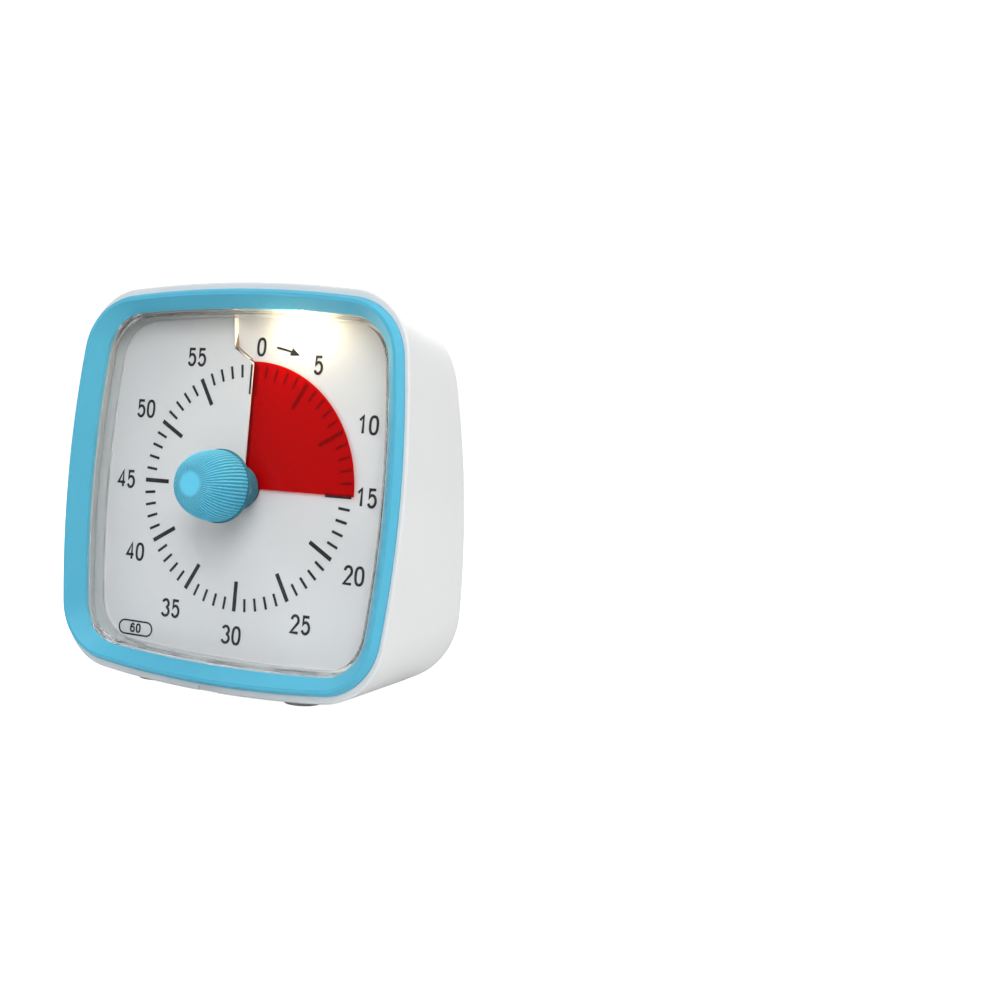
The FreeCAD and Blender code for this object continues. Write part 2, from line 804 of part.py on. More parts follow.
def make_cells():
    cells = []
    for index, row in enumerate(cell_rows()):
        side = 1 if index == 0 else -1
        start = -cell_length / 2.0
        can = lying_cylinder(cell_radius, start, start + cell_length, row, cell_level)
        rims = [e for e in can.Edges if e.Curve.TypeId == "Part::GeomCircle"]
        can = can.makeFillet(0.4, rims)
        if side > 0:
            nub = lying_cylinder(cell_nub_radius, cell_length / 2 - 0.1, cell_length / 2 + cell_nub_length,
                                 row, cell_level)
        else:
            nub = lying_cylinder(cell_nub_radius, -cell_length / 2 - cell_nub_length, -cell_length / 2 + 0.1,
                                 row, cell_level)
        shift = Vector(side * (tray_half_length - contact_thickness - cell_length / 2 - cell_nub_length), 0, 0)
        cell = can.fuse(nub)
        cell.translate(shift)
        cells.append(in_back(cell.removeSplitter()))
    return Part.makeCompound(cells)


def make_contacts():
    # One plate at each end of the tray, touching both cells
    plates = []
    for side in (-1, 1):
        edge = side * tray_half_length
        inner = edge - side * contact_thickness
        plates.append(in_back(block(min(edge, inner), max(edge, inner), cell_row_middle - 10.5,
                                    cell_row_middle + 10.5, -tray_depth + tray_wall + 0.2, -3.6)))
    return Part.makeCompound(plates)


def make_springs():
    # A bowed leaf of spring strip presses on the flat end of each cell
    springs = []
    room = 2.0 * (tray_half_length - contact_thickness) - cell_length - cell_nub_length
    for index, row in enumerate(cell_rows()):
        side = -1 if index == 0 else 1
        inner = side * (tray_half_length - contact_thickness)
        peak = inner - side * room
        strip = side * spring_strip
        corners = [Vector(inner, 0, cell_level - spring_reach), Vector(peak, 0, cell_level - 0.8)]
        corners += [Vector(peak, 0, cell_level + 0.8), Vector(inner, 0, cell_level + spring_reach)]
        corners += [Vector(inner, 0, cell_level + spring_reach - 1.2 * spring_strip)]
        corners += [Vector(peak + strip, 0, cell_level + 0.6), Vector(peak + strip, 0, cell_level - 0.6)]
        corners += [Vector(inner, 0, cell_level - spring_reach + 1.2 * spring_strip)]
        leaf = Part.Face(Part.makePolygon(corners + [corners[0]])).extrude(Vector(0, spring_width, 0))
        leaf.translate(Vector(0, row - spring_width / 2.0, 0))
        springs.append(in_back(leaf))
    return Part.makeCompound(springs)


def make_board():
    body = block(-board_half_length, board_half_length, board_middle - board_half_height,
                 board_middle + board_half_height, board_level - board_thickness, board_level)
    for x, y in board_post_places():
        body = body.cut(cylinder(small_screw_radius + hole_clearance, board_level - 3, board_level + 1, x, y))
    return in_back(body)


def make_board_screws():
    shape = screw(small_screw_radius - 0.02, board_thickness + 3.0, small_screw_head, small_screw_head_height)
    return in_back(placed_screws(board_post_places(), board_level - board_thickness, shape))


def make_buzzer():
    body = cylinder(buzzer_radius, board_level, board_level + buzzer_height, 0.0, board_middle)
    top = [e for e in body.Edges if e.BoundBox.ZMin > board_level + buzzer_height - 0.01]
    body = body.makeFillet(0.5, [e for e in top if e.Curve.TypeId == "Part::GeomCircle"])
    return in_back(body.cut(cylinder(1.0, board_level + buzzer_height - 1.5, 0, 0.0, board_middle)))


def make_button_switch():
    top = button_inner_end() - button_travel - 0.1
    body = block(button_x - 3, button_x + 3, board_middle - 3, board_middle + 3, board_level, top - 0.8)
    return in_back(body.fuse(cylinder(1.6, board_level, top, button_x, board_middle)))


def button_inner_end():
    return -wall - 0.1 - button_flange


def make_button():
    cap = cylinder(button_radius, button_inner_end(), button_proud, button_x, board_middle)
    top = [e for e in cap.Edges if e.BoundBox.ZMin > button_proud - 0.01]
    cap = cap.makeFillet(0.5, top)
    flange = cylinder(button_radius + 1.1, button_inner_end(), -wall - 0.1, button_x, board_middle)
    return in_back(merged([cap, flange]))


def make_slide_switch():
    high = -wall - 1.7
    body = block(slider_x - 5.5, slider_x + 5.5, board_middle - 2.8, board_middle + 2.8, board_level, high)
    return in_back(body)


def make_slider():
    # At rest the thumb piece stands at the left end of its slot
    x = slider_x - slider_travel / 2.0
    width = slider_half_width
    stem = block(x - width, x + width, board_middle - 1.0, board_middle + 1.0, -wall - 0.5, slider_proud)
    for step in (-0.8, 0.0, 0.8):
        groove = block(x + step - 0.2, x + step + 0.2, board_middle - 2, board_middle + 2, slider_proud - 0.3, 3)
        stem = stem.cut(groove)
    shoe = block(x - width - 1.0, x + width + 1.0, board_middle - 2.4, board_middle + 2.4, -wall - 1.4, -wall - 0.2)
    return in_back(merged([stem, shoe]))


def lamp_part(radius, y_low, y_high):
    return Part.makeCylinder(radius, y_high - y_low, Vector(lamp_x, y_low, lamp_level), Vector(0, 1, 0))


def lamp_board_low():
    return lamp_tip + 2.7


def make_lamp():
    dome = Part.makeSphere(lamp_radius, Vector(lamp_x, lamp_tip + lamp_radius, lamp_level))
    body = lamp_part(lamp_radius, lamp_tip + lamp_radius, lamp_board_low())
    collar = lamp_part(lamp_radius + 0.25, lamp_board_low() - 0.5, lamp_board_low())
    return merged([dome, body, collar])


def make_lamp_board():
    low = lamp_board_low()
    return block(lamp_x - 4.5, lamp_x + 4.5, low, low + lamp_board_thickness, lamp_level - 1.6, lamp_level + 1.6)


save("housing", make_housing())
save("feet", make_feet())
save("bezel", make_bezel())
save("lens", make_lens())
save("dial", make_dial())
save("film", make_film())
save("film_hub", make_film_hub())
save("knob", make_knob())
save("arbor", make_arbor())
save("chassis_plate", make_chassis())
save("chassis_screws", make_chassis_screws())
save("movement_front", make_movement_front())
save("movement_case", make_movement_case())
save("movement_screws", make_movement_screws())
save("output_wheel", make_output_wheel())
save("clutch_washer", make_clutch_spring())
save("retaining_clip", make_retaining_clip())
save("middle_wheel", make_middle_wheel())
save("rotor", make_rotor())
save("stator", make_stator())
save("coil", make_coil())
save("back_cover", make_back_cover())
save("battery_door", make_battery_door())
save("case_screws", make_case_screws())
save("battery_cells", make_cells())
save("battery_contacts", make_contacts())
save("battery_springs", make_springs())
save("circuit_board", make_board())
save("board_screws", make_board_screws())
save("buzzer", make_buzzer())
save("button_switch", make_button_switch())
save("light_button", make_button())
save("slide_switch", make_slide_switch())
save("sound_slider", make_slider())
save("lamp", make_lamp())
save("lamp_board", make_lamp_board())
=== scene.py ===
import json
import math
import bpy
from mathutils import Matrix, Vector


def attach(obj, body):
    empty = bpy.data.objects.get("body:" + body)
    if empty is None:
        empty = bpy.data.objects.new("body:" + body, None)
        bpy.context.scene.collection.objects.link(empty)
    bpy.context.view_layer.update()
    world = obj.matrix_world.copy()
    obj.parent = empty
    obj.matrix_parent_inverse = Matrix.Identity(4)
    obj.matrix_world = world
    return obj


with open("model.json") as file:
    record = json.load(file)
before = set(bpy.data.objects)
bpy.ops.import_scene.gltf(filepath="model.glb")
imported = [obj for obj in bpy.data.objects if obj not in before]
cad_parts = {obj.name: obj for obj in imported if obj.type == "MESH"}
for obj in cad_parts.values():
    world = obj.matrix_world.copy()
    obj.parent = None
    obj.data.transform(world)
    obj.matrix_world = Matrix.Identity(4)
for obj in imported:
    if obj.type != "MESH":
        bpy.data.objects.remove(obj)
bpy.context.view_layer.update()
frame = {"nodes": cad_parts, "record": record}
print("stage 1: the CAD frame is in place")

# The dial's own frame in millimetres: u to the right, v up the dial, w out of it
stance = {"lean": 3.0, "setback": -8.02, "height": 49.8}
lean = math.radians(stance["lean"])
millimetre = 0.001


def faceDirection(u, v, w):
    return Vector((u, v * math.sin(lean) - w * math.cos(lean), v * math.cos(lean) + w * math.sin(lean)))


def facePoint(u, v, w):
    place = faceDirection(u, v, w) + Vector((0, stance["setback"], stance["height"]))
    return place * millimetre


# Camera, lights and floor
cameraSetup = {
    "place": (169.4, 0.7, 229.9),
    "forward": (-0.40507, 0.01013, -0.91423),
    "up": (-0.07332, 0.99636, 0.04352),
    "focalPixels": 1125.07,
    "imagePixels": 990.0,
    "sensorMm": 36.0,
    "nearest": 0.01,
    "farthest": 50.0,
}


def makeCamera():
    data = bpy.data.cameras.new("timerCamera")
    data.sensor_width = cameraSetup["sensorMm"]
    data.lens = cameraSetup["focalPixels"] / cameraSetup["imagePixels"] * cameraSetup["sensorMm"]
    data.clip_start = cameraSetup["nearest"]
    data.clip_end = cameraSetup["farthest"]
    camera = bpy.data.objects.new("timerCamera", data)
    bpy.context.scene.collection.objects.link(camera)
    back = -faceDirection(*cameraSetup["forward"]).normalized()
    up = faceDirection(*cameraSetup["up"])
    right = up.cross(back).normalized()
    up = back.cross(right)
    turn = Matrix((right, up, back)).transposed().to_4x4()
    camera.matrix_world = Matrix.Translation(facePoint(*cameraSetup["place"])) @ turn
    bpy.context.scene.camera = camera


studioLights = [
    {"name": "keyRight", "place": (0.5, -0.75, 0.6), "size": (0.5, 0.6), "watts": 3.7, "tint": (1, 1, 1)},
    {"name": "fillLeft", "place": (-0.8, -0.3, 0.5), "size": (0.3, 0.7), "watts": 1.7,
     "tint": (0.98, 0.99, 1)},
    {"name": "topSoft", "place": (0.1, -0.2, 0.95), "size": (0.8, 0.5), "watts": 3.4, "tint": (1, 1, 1)},
    {"name": "backSoft", "place": (-0.3, 1.0, 0.5), "size": (0.7, 0.7), "watts": 3.2, "tint": (1, 1, 1)},
    {"name": "sideSoft", "place": (0.9, 0.35, 0.5), "size": (0.7, 0.7), "watts": 3.4, "tint": (1, 1, 1)},
]
studioWorld = {"colour": (1.0, 1.0, 1.0), "strength": 0.25, "aim": (0, 0, 0.05)}


def makeLights():
    aim = Vector(studioWorld["aim"])
    for item in studioLights:
        data = bpy.data.lights.new(item["name"], "AREA")
        data.shape = "RECTANGLE"
        data.size, data.size_y = item["size"]
        data.energy = item["watts"]
        data.color = item["tint"]
        light = bpy.data.objects.new(item["name"], data)
        light.location = item["place"]
        light.rotation_euler = (aim - Vector(item["place"])).to_track_quat("-Z", "Y").to_euler()
        bpy.context.scene.collection.objects.link(light)


def makeSky():
    # White in the picture, with a lower strength of its own for what it lights
    world = bpy.data.worlds.new("paleStudio")
    bpy.context.scene.world = world
    world.use_nodes = True
    nodes, links = world.node_tree.nodes, world.node_tree.links
    sky = nodes["Background"]
    sky.inputs["Color"].default_value = (*studioWorld["colour"], 1)
    path = nodes.new("ShaderNodeLightPath")
    strength = nodes.new("ShaderNodeMath")
    strength.operation = "MULTIPLY_ADD"
    strength.inputs[1].default_value = 1.0 - studioWorld["strength"]
    strength.inputs[2].default_value = studioWorld["strength"]
    links.new(path.outputs["Is Camera Ray"], strength.inputs[0])
    links.new(strength.outputs[0], sky.inputs["Strength"])
    bpy.context.scene.view_settings.view_transform = "Standard"


floorSetup = {"half": 14.0, "front": 3.0, "depth": 6.0, "bend": 2.0, "bendSteps": 12, "rise": 9.0,
              "colour": (0.8, 0.8, 0.8), "roughness": 0.6, "lift": 1.0}


def makeFloor():
    # A pale sheet that runs back and bends up behind the timer
    half = floorSetup["half"]
    profile = [(-floorSetup["front"], 0.0), (floorSetup["depth"], 0.0)]
    for step in range(1, floorSetup["bendSteps"] + 1):
        angle = math.pi / 2 * step / floorSetup["bendSteps"]
        profile.append((floorSetup["depth"] + floorSetup["bend"] * math.sin(angle),
                        floorSetup["bend"] * (1 - math.cos(angle))))
    profile.append((profile[-1][0], floorSetup["rise"]))
    points = []
    for x in (-half, half):
        points += [(x, y, z) for y, z in profile]
    count = len(profile)
    faces = [(i, i + count, i + count + 1, i + 1) for i in range(count - 1)]
    mesh = bpy.data.meshes.new("studioFloor")
    mesh.from_pydata(points, [], faces)
    mesh.polygons.foreach_set("use_smooth", [True] * len(faces))
    floor = bpy.data.objects.new("studioFloor", mesh)
    bpy.context.scene.collection.objects.link(floor)
    floor.data.materials.append(paperMaterial())


# Shared shader groups
def groupSocket(tree, name, way, kind, value=None):
    socket = tree.interface.new_socket(name=name, in_out=way, socket_type=kind)
    if value is not None:
        socket.default_value = value


grainLook = {"slowScale": 45, "slowDetail": 2, "fineDetail": 3, "bumpDistance": 0.0002,
             "coatRoughness": 0.08}


def makeMouldedGrain():
    # Slow tone drift and fine grain of moulded plastic or rolled metal
    tree = bpy.data.node_groups.new("mouldedGrain", "ShaderNodeTree")
    groupSocket(tree, "Colour", "INPUT", "NodeSocketColor", (0.8, 0.8, 0.8, 1))
    groupSocket(tree, "Drift", "INPUT", "NodeSocketFloat", 0.04)
    groupSocket(tree, "Gloss", "INPUT", "NodeSocketFloat", 0.3)
    groupSocket(tree, "Spread", "INPUT", "NodeSocketFloat", 0.05)
    groupSocket(tree, "Grain Size", "INPUT", "NodeSocketFloat", 900.0)
    groupSocket(tree, "Stretch", "INPUT", "NodeSocketVector", (1, 1, 1))
    groupSocket(tree, "Colour", "OUTPUT", "NodeSocketColor")
    groupSocket(tree, "Roughness", "OUTPUT", "NodeSocketFloat")
    groupSocket(tree, "Height", "OUTPUT", "NodeSocketFloat")
    nodes, links = tree.nodes, tree.links
    source = nodes.new("NodeGroupInput")
    sink = nodes.new("NodeGroupOutput")
    place = nodes.new("ShaderNodeTexCoord")
    stretch = nodes.new("ShaderNodeVectorMath")
    stretch.operation = "MULTIPLY"
    slow = nodes.new("ShaderNodeTexNoise")
    slow.inputs["Scale"].default_value = grainLook["slowScale"]
    slow.inputs["Detail"].default_value = grainLook["slowDetail"]
    fine = nodes.new("ShaderNodeTexNoise")
    fine.inputs["Detail"].default_value = grainLook["fineDetail"]
    links.new(place.outputs["Object"], stretch.inputs[0])
    links.new(source.outputs["Stretch"], stretch.inputs[1])
    links.new(stretch.outputs[0], slow.inputs["Vector"])
    links.new(stretch.outputs[0], fine.inputs["Vector"])
    links.new(source.outputs["Grain Size"], fine.inputs["Scale"])
    shade = nodes.new("ShaderNodeMath")
    shade.operation = "MULTIPLY_ADD"
    links.new(slow.outputs["Fac"], shade.inputs[0])
    links.new(source.outputs["Drift"], shade.inputs[1])
    shade.inputs[2].default_value = 1.0
    lower = nodes.new("ShaderNodeMath")
    lower.operation = "MULTIPLY_ADD"
    links.new(source.outputs["Drift"], lower.inputs[0])
    lower.inputs[1].default_value = -0.5
    links.new(shade.outputs[0], lower.inputs[2])
    tone = nodes.new("ShaderNodeVectorMath")
    tone.operation = "SCALE"
    links.new(source.outputs["Colour"], tone.inputs[0])
    links.new(lower.outputs[0], tone.inputs["Scale"])
    links.new(tone.outputs[0], sink.inputs["Colour"])
    rough = nodes.new("ShaderNodeMath")
    rough.operation = "MULTIPLY_ADD"
    links.new(fine.outputs["Fac"], rough.inputs[0])
    links.new(source.outputs["Spread"], rough.inputs[1])
    links.new(source.outputs["Gloss"], rough.inputs[2])
    links.new(rough.outputs[0], sink.inputs["Roughness"])
    links.new(fine.outputs["Fac"], sink.inputs["Height"])
    return tree


mouldedGrain = makeMouldedGrain()

# The groove and neck values are painted shade laid into the knob's colour
knobLook = {"flutes": 60, "groovePaintedShade": 0.52, "grooveSharpness": 1.3, "fluteStart": 10.8,
            "plainRadius": 2.4, "fadeRadius": 3.4, "neckPaintedShade": 0.27, "bump": 0.8}


def makeFluteShade():
    # Painted shade: darkens the grooves of the knob and paints shade onto its neck and flange, measured
    # round the knob's own axis
    tree = bpy.data.node_groups.new("flutePaintedShade", "ShaderNodeTree")
    groupSocket(tree, "Colour", "INPUT", "NodeSocketColor", (0.1, 0.5, 0.7, 1))
    groupSocket(tree, "Colour", "OUTPUT", "NodeSocketColor")
    groupSocket(tree, "Height", "OUTPUT", "NodeSocketFloat")
    nodes, links = tree.nodes, tree.links
    source = nodes.new("NodeGroupInput")
    sink = nodes.new("NodeGroupOutput")

    def vectorStep(operation, first, second):
        step = nodes.new("ShaderNodeVectorMath")
        step.operation = operation
        links.new(first, step.inputs[0])
        step.inputs[1].default_value = second
        return step.outputs["Value"] if operation == "DOT_PRODUCT" else step.outputs[0]

    def mathStep(operation, *values):
        step = nodes.new("ShaderNodeMath")
        step.operation = operation
        for index, value in enumerate(values):
            if isinstance(value, (int, float)):
                step.inputs[index].default_value = value
            else:
                links.new(value, step.inputs[index])
        return step.outputs[0]

    def ramp(value, low, high, start, end):
        step = nodes.new("ShaderNodeMapRange")
        links.new(value, step.inputs["Value"])
        step.inputs["From Min"].default_value = low
        step.inputs["From Max"].default_value = high
        step.inputs["To Min"].default_value = start
        step.inputs["To Max"].default_value = end
        return step.outputs["Result"]

    place = nodes.new("ShaderNodeTexCoord")
    offset = vectorStep("SUBTRACT", place.outputs["Object"], facePoint(0, 0, 0))
    across = vectorStep("DOT_PRODUCT", offset, faceDirection(1, 0, 0))
    upward = vectorStep("DOT_PRODUCT", offset, faceDirection(0, 1, 0))
    outward = vectorStep("DOT_PRODUCT", offset, faceDirection(0, 0, 1))
    turn = mathStep("ARCTAN2", upward, across)
    wave = mathStep("COSINE", mathStep("MULTIPLY", turn, knobLook["flutes"]))
    groove = mathStep("POWER", mathStep("MULTIPLY_ADD", wave, 0.5, 0.5), knobLook["grooveSharpness"])
    radius = mathStep("SQRT", mathStep("ADD", mathStep("MULTIPLY", across, across),
                                       mathStep("MULTIPLY", upward, upward)))
    fade = ramp(radius, knobLook["plainRadius"] * millimetre, knobLook["fadeRadius"] * millimetre, 0, 1)
    isDome = mathStep("GREATER_THAN", outward, knobLook["fluteStart"] * millimetre)
    depth = mathStep("MULTIPLY", mathStep("MULTIPLY", groove, fade), isDome)
    # Painted shade in the grooves of the dome
    shade = mathStep("MULTIPLY_ADD", depth, -knobLook["groovePaintedShade"], 1.0)
    # Painted shade on the neck and flange, everything below the dome
    paintedNeckShade = ramp(isDome, 0, 1, knobLook["neckPaintedShade"], 1)
    tone = nodes.new("ShaderNodeVectorMath")
    tone.operation = "SCALE"
    links.new(source.outputs["Colour"], tone.inputs[0])
    links.new(mathStep("MULTIPLY", shade, paintedNeckShade), tone.inputs["Scale"])
    links.new(tone.outputs[0], sink.inputs["Colour"])
    links.new(mathStep("SUBTRACT", 1.0, depth), sink.inputs["Height"])
    return tree


flutePaintedShade = makeFluteShade()


def startMaterial(name, colour, gloss, **more):
    # A new material whose shader has the grain group behind its colour and roughness
    material = bpy.data.materials.new(name)
    material.use_nodes = True
    nodes, links = material.node_tree.nodes, material.node_tree.links
    shader = nodes["Principled BSDF"]
    grain = nodes.new("ShaderNodeGroup")
    grain.name = "grain"
    grain.node_tree = mouldedGrain
    grain.inputs["Colour"].default_value = (*colour, 1)
    grain.inputs["Gloss"].default_value = gloss
    for socket, value in more.items():
        grain.inputs[socket].default_value = value
    links.new(grain.outputs["Colour"], shader.inputs["Base Color"])
    links.new(grain.outputs["Roughness"], shader.inputs["Roughness"])
    return material, shader


def blendShaders(material, amount, first, second):
    # The amount is a plain value or an output to read it from
    nodes, links = material.node_tree.nodes, material.node_tree.links
    blend = nodes.new("ShaderNodeMixShader")
    if isinstance(amount, float):
        blend.inputs[0].default_value = amount
    else:
        links.new(amount, blend.inputs[0])
    links.new(first.outputs[0], blend.inputs[1])
    links.new(second.outputs[0], blend.inputs[2])
    links.new(blend.outputs[0], nodes["Material Output"].inputs["Surface"])


def grainedMaterial(name, colour, gloss=0.35, spread=0.08, drift=0.04, grainSize=900.0, bump=0.02,
                    metallic=0.0, coat=0.0, stretch=(1, 1, 1), specular=0.5):
    material, shader = startMaterial(name, colour, gloss, Spread=spread, Drift=drift, Stretch=stretch)
    nodes, links = material.node_tree.nodes, material.node_tree.links
    grain = nodes["grain"]
    grain.inputs["Grain Size"].default_value = grainSize
    relief = nodes.new("ShaderNodeBump")
    relief.name = "relief"
    relief.inputs["Strength"].default_value = bump
    relief.inputs["Distance"].default_value = grainLook["bumpDistance"]
    links.new(grain.outputs["Height"], relief.inputs["Height"])
    links.new(relief.outputs["Normal"], shader.inputs["Normal"])
    shader.inputs["Metallic"].default_value = metallic
    shader.inputs["Coat Weight"].default_value = coat
    shader.inputs["Coat Roughness"].default_value = grainLook["coatRoughness"]
    shader.inputs["Specular IOR Level"].default_value = specular
    return material


def paperMaterial():
    # Its lift shows in the picture but lights nothing
    paper = grainedMaterial("palePaper", floorSetup["colour"], gloss=floorSetup["roughness"], bump=0.0,
                            drift=0.0)
    nodes, links = paper.node_tree.nodes, paper.node_tree.links
    shader = nodes["Principled BSDF"]
    shader.inputs["Emission Color"].default_value = (1, 1, 1, 1)
    path = nodes.new("ShaderNodeLightPath")
    lift = nodes.new("ShaderNodeMath")
    lift.operation = "MULTIPLY"
    lift.inputs[1].default_value = floorSetup["lift"]
    links.new(path.outputs["Is Camera Ray"], lift.inputs[0])
    links.new(lift.outputs[0], shader.inputs["Emission Strength"])
    return paper


# Finishes of the CAD pieces, one for each slot of the record
shellWhite = (0.86, 0.865, 0.87)
timerBlue = (0.1, 0.52, 0.74)
finishes = {
    "housing_white": dict(colour=shellWhite, gloss=0.4, drift=0.015, coat=0.1),
    "feet_rubber": dict(colour=(0.62, 0.625, 0.63), gloss=0.6, bump=0.15),
    "bezel_blue": dict(colour=timerBlue, gloss=0.42, drift=0.02, specular=0.35),
    "dial_grey": dict(colour=(0.72, 0.72, 0.725), gloss=0.55, drift=0.015),
    "hub_grey": dict(colour=(0.18, 0.2, 0.22), gloss=0.45),
    "knob_blue": dict(colour=(0.14, 0.7, 0.98), gloss=0.45, drift=0.03, specular=0.35),
    "steel_shaft": dict(colour=(0.55, 0.55, 0.56), gloss=0.25, metallic=1.0),
    "chassis_black": dict(colour=(0.035, 0.035, 0.04), gloss=0.5),
    "screw_steel": dict(colour=(0.5, 0.5, 0.52), gloss=0.28, metallic=1.0),
    "movement_black": dict(colour=(0.03, 0.03, 0.032), gloss=0.42),
    "gear_white": dict(colour=(0.75, 0.74, 0.7), gloss=0.4),
    "spring_steel": dict(colour=(0.62, 0.62, 0.63), gloss=0.2, metallic=1.0),
    "rotor_dark": dict(colour=(0.1, 0.1, 0.12), gloss=0.35),
    "stator_iron": dict(colour=(0.35, 0.35, 0.37), gloss=0.35, metallic=1.0),
    "coil_copper": dict(colour=(0.55, 0.2, 0.08), gloss=0.35, metallic=1.0, grainSize=300.0,
                        stretch=(1, 8, 8), bump=0.4),
    "cover_white": dict(colour=(0.82, 0.825, 0.83), gloss=0.5, drift=0.02, bump=0.12),
    "cell_sleeve": dict(colour=(0.06, 0.065, 0.08), gloss=0.3, coat=0.4),
    "contact_nickel": dict(colour=(0.7, 0.69, 0.66), gloss=0.18, metallic=1.0),
    "board_green": dict(colour=(0.02, 0.16, 0.07), gloss=0.35, coat=0.3, drift=0.15),
    "buzzer_black": dict(colour=(0.02, 0.02, 0.02), gloss=0.4),
    "switch_black": dict(colour=(0.03, 0.03, 0.03), gloss=0.45),
    "button_grey": dict(colour=(0.32, 0.34, 0.36), gloss=0.6, bump=0.1),
}


def knobMaterial(look):
    # Blue moulding with painted shade in its grooves and on its neck, from the flute group
    material = grainedMaterial("knob_blue", **look)
    nodes, links = material.node_tree.nodes, material.node_tree.links
    flutes = nodes.new("ShaderNodeGroup")
    flutes.node_tree = flutePaintedShade
    relief = nodes["relief"]
    relief.inputs["Strength"].default_value = knobLook["bump"]
    links.new(nodes["grain"].outputs["Colour"], flutes.inputs["Colour"])
    links.new(flutes.outputs["Colour"], nodes["Principled BSDF"].inputs["Base Color"])
    links.new(flutes.outputs["Height"], relief.inputs["Height"])
    return material


lensLook = {"tint": (0.985, 0.995, 1.0), "shadowTint": (0.988, 0.996, 1.0), "roughness": 0.0,
            "refraction": 1.16, "spread": 0.01, "drift": 0.01}


def lensMaterial():
    # Clear moulding: glass to the eye, and open to the light that passes through it
    material, shader = startMaterial("lens_clear", lensLook["tint"], lensLook["roughness"],
                                     Spread=lensLook["spread"], Drift=lensLook["drift"])
    nodes = material.node_tree.nodes
    shader.inputs["Transmission Weight"].default_value = 1.0
    shader.inputs["IOR"].default_value = lensLook["refraction"]
    seeThrough = nodes.new("ShaderNodeBsdfTransparent")
    seeThrough.inputs["Color"].default_value = (*lensLook["shadowTint"], 1)
    path = nodes.new("ShaderNodeLightPath")
    blendShaders(material, path.outputs["Is Shadow Ray"], shader, seeThrough)
    return material


filmLook = {"colour": (0.7, 0.005, 0.006), "tint": (0.89, 0.008, 0.008), "through": 0.8, "roughness": 0.4,
            "drift": 0.02, "specular": 0.2}


def filmMaterial():
    # Tinted film: part of the light goes through, so the ticks behind it show dark red
    material, shader = startMaterial("redFilm", filmLook["colour"], filmLook["roughness"],
                                     Drift=filmLook["drift"])
    shader.inputs["Specular IOR Level"].default_value = filmLook["specular"]
    tinted = material.node_tree.nodes.new("ShaderNodeBsdfTransparent")
    tinted.inputs["Color"].default_value = (*filmLook["tint"], 1)
    blendShaders(material, filmLook["through"], shader, tinted)
    return material


lampLook = {"body": (1.0, 0.85, 0.6), "gloss": 0.2, "colour": (1.0, 0.72, 0.4), "glow": 60.0}


def lampMaterial():
    material, shader = startMaterial("warmLamp", lampLook["body"], lampLook["gloss"])
    shader.inputs["Emission Color"].default_value = (*lampLook["colour"], 1)
    shader.inputs["Emission Strength"].default_value = lampLook["glow"]
    return material


def dressFrame():
    made = {}
    for slotName, look in finishes.items():
        if slotName != "knob_blue":
            made[slotName] = grainedMaterial(slotName, **look)
    made["knob_blue"] = knobMaterial(finishes["knob_blue"])
    made["lens_clear"] = lensMaterial()
    made["film_red"] = filmMaterial()
    made["lamp_warm"] = lampMaterial()
    for part in frame["record"]["subparts"]:
        node = frame["nodes"][part["node"]]
        node.data.materials.clear()
        node.data.materials.append(made[part["material_slot"]])
        for face in node.data.polygons:
            face.material_index = 0


# Printed dial, with a painted shadow line along the slit
dialSurface = {"step": 1.6, "thickness": 0.4, "jogRadius": 32.0, "jogAngle": 9.5, "lift": 0.03, "ink": 0.04,
               "sharpestMitre": 0.6}


def dialHeight(u, v):
    # The dial climbs clockwise from the slit; beyond the jog its low end reaches a little left of twelve
    turn = math.degrees(math.atan2(u, v))
    isPastJog = math.hypot(u, v) > dialSurface["jogRadius"] and turn > -dialSurface["jogAngle"]
    if turn < 0 and not isPastJog:
        turn += 360
    middle = -dialSurface["step"] / 2 + dialSurface["step"] * turn / 360
    return middle + dialSurface["thickness"] / 2 + dialSurface["lift"]


def inkStrip(points, faces, path, width, closed=False):
    # A flat stroke of even width along the path, printed on the dial
    count = len(path)
    start = len(points)
    for index in range(count):
        here = Vector(path[index])
        before = Vector(path[index - 1]) if (index or closed) else None
        after = Vector(path[(index + 1) % count]) if (index < count - 1 or closed) else None
        pairs = [(a, b) for a, b in ((before, here), (here, after)) if a is not None and b is not None]
        runs = [(b - a).normalized() for a, b in pairs]
        along = sum(runs, Vector((0, 0))).normalized()
        across = Vector((-along.y, along.x))
        spread = 1.0 / max(dialSurface["sharpestMitre"], across.dot(Vector((-runs[0].y, runs[0].x))))
        for side in (-1, 1):
            spot = here + across * (side * spread * width / 2)
            for lift in (0.0, dialSurface["ink"]):
                points.append(facePoint(spot.x, spot.y, dialHeight(spot.x, spot.y) + lift))
    last = count if closed else count - 1
    for index in range(last):
        a = start + 4 * index
        b = start + 4 * ((index + 1) % count)
        faces += [(a + 1, a + 3, b + 3, b + 1), (a, b, b + 2, a + 2)]
        faces += [(a, a + 1, b + 1, b), (a + 2, b + 2, b + 3, a + 3)]
    if not closed:
        end = start + 4 * (count - 1)
        faces += [(start, start + 2, start + 3, start + 1), (end, end + 1, end + 3, end + 2)]


def inkMaterial(name, colour):
    return grainedMaterial(name, colour, gloss=0.5, spread=0.05, drift=0.1, bump=0.0)


def printed(name, points, faces, material):
    mesh = bpy.data.meshes.new(name)
    mesh.from_pydata(points, [], faces)
    mesh.validate()
    piece = bpy.data.objects.new(name, mesh)
    bpy.context.scene.collection.objects.link(piece)
    piece.data.materials.append(material)
    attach(piece, "case")


tickMarks = {"count": 60, "longEvery": 5, "outer": 30.6, "shortLength": 3.2, "shortWidth": 0.66,
             "longLength": 7.4, "longWidth": 1.05, "zeroGap": 0.05, "ink": (0.012, 0.012, 0.013)}


